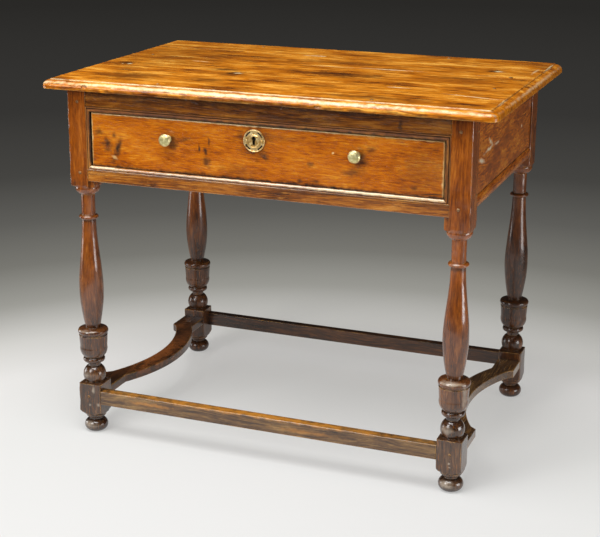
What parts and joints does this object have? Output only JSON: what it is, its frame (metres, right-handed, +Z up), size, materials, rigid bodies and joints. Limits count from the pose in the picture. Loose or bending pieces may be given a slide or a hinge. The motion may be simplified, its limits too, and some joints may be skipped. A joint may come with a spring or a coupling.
{
  "type": "tavern_table",
  "caption": "Oak tavern table with a plank top, a frieze drawer, turned baluster legs, bun feet, straight front and back stretchers and inward-bowed end stretchers.",
  "frame": {"origin": "On the floor under the middle of the table top.", "axes": "X runs along the table to the right as seen from the front, Y runs from the drawer front to the back, Z is up."},
  "size_m": [0.88, 0.578, 0.72],
  "materials": {
    "top_oak": "waxed, worn honey brown",
    "leg_oak": "waxed, dark brown towards the feet",
    "rail_oak": "waxed brown",
    "stretcher_oak": "worn, waxed",
    "peg_oak": "waxed end grain",
    "drawer_oak": "waxed orange brown",
    "plain_oak": "bare, dry",
    "brass": "hand polished",
    "forged_iron": "dark, forged"
  },
  "bodies": {
    "frame": {"top_board_front": "top_oak", "top_board_middle": "top_oak", "top_board_back": "top_oak", "top_pegs": "peg_oak", "leg_front_left": "leg_oak", "leg_front_right": "leg_oak", "leg_back_left": "leg_oak", "leg_back_right": "leg_oak", "front_top_rail": "rail_oak", "front_bottom_rail": "rail_oak", "back_rail": "rail_oak", "left_side_rail": "rail_oak", "right_side_rail": "rail_oak", "opening_moulding_top": "rail_oak", "opening_moulding_bottom": "rail_oak", "opening_moulding_left": "rail_oak", "opening_moulding_right": "rail_oak", "front_stretcher": "stretcher_oak", "back_stretcher": "stretcher_oak", "left_end_stretcher": "stretcher_oak", "right_end_stretcher": "stretcher_oak", "rail_pegs": "peg_oak", "stretcher_pegs": "peg_oak", "left_drawer_runner": "plain_oak", "right_drawer_runner": "plain_oak", "left_drawer_guide": "plain_oak", "right_drawer_guide": "plain_oak", "left_drawer_kicker": "plain_oak", "right_drawer_kicker": "plain_oak", "runner_nails": "forged_iron", "drawer_stops": "plain_oak"},
    "drawer": {"drawer_front": "drawer_oak", "drawer_left_side": "plain_oak", "drawer_right_side": "plain_oak", "drawer_back": "plain_oak", "drawer_bottom_left": "plain_oak", "drawer_bottom_middle": "plain_oak", "drawer_bottom_right": "plain_oak", "bottom_nails": "forged_iron", "left_knob": "brass", "right_knob": "brass", "knob_nuts": "forged_iron", "escutcheon_plate": "brass", "escutcheon_pins": "brass", "lock_case": "forged_iron", "lock_nails": "forged_iron"},
    "bolt": {"lock_bolt": "forged_iron"}
  },
  "joints": [
    {"name": "drawer_slide", "type": "slide", "parent": "frame", "child": "drawer", "axis": [0, -1, 0], "range_m": [0, 0.3]},
    {"name": "bolt_throw", "type": "slide", "parent": "drawer", "child": "bolt", "axis": [0, 0, 1], "range_m": [0, 0.008]}
  ]
}
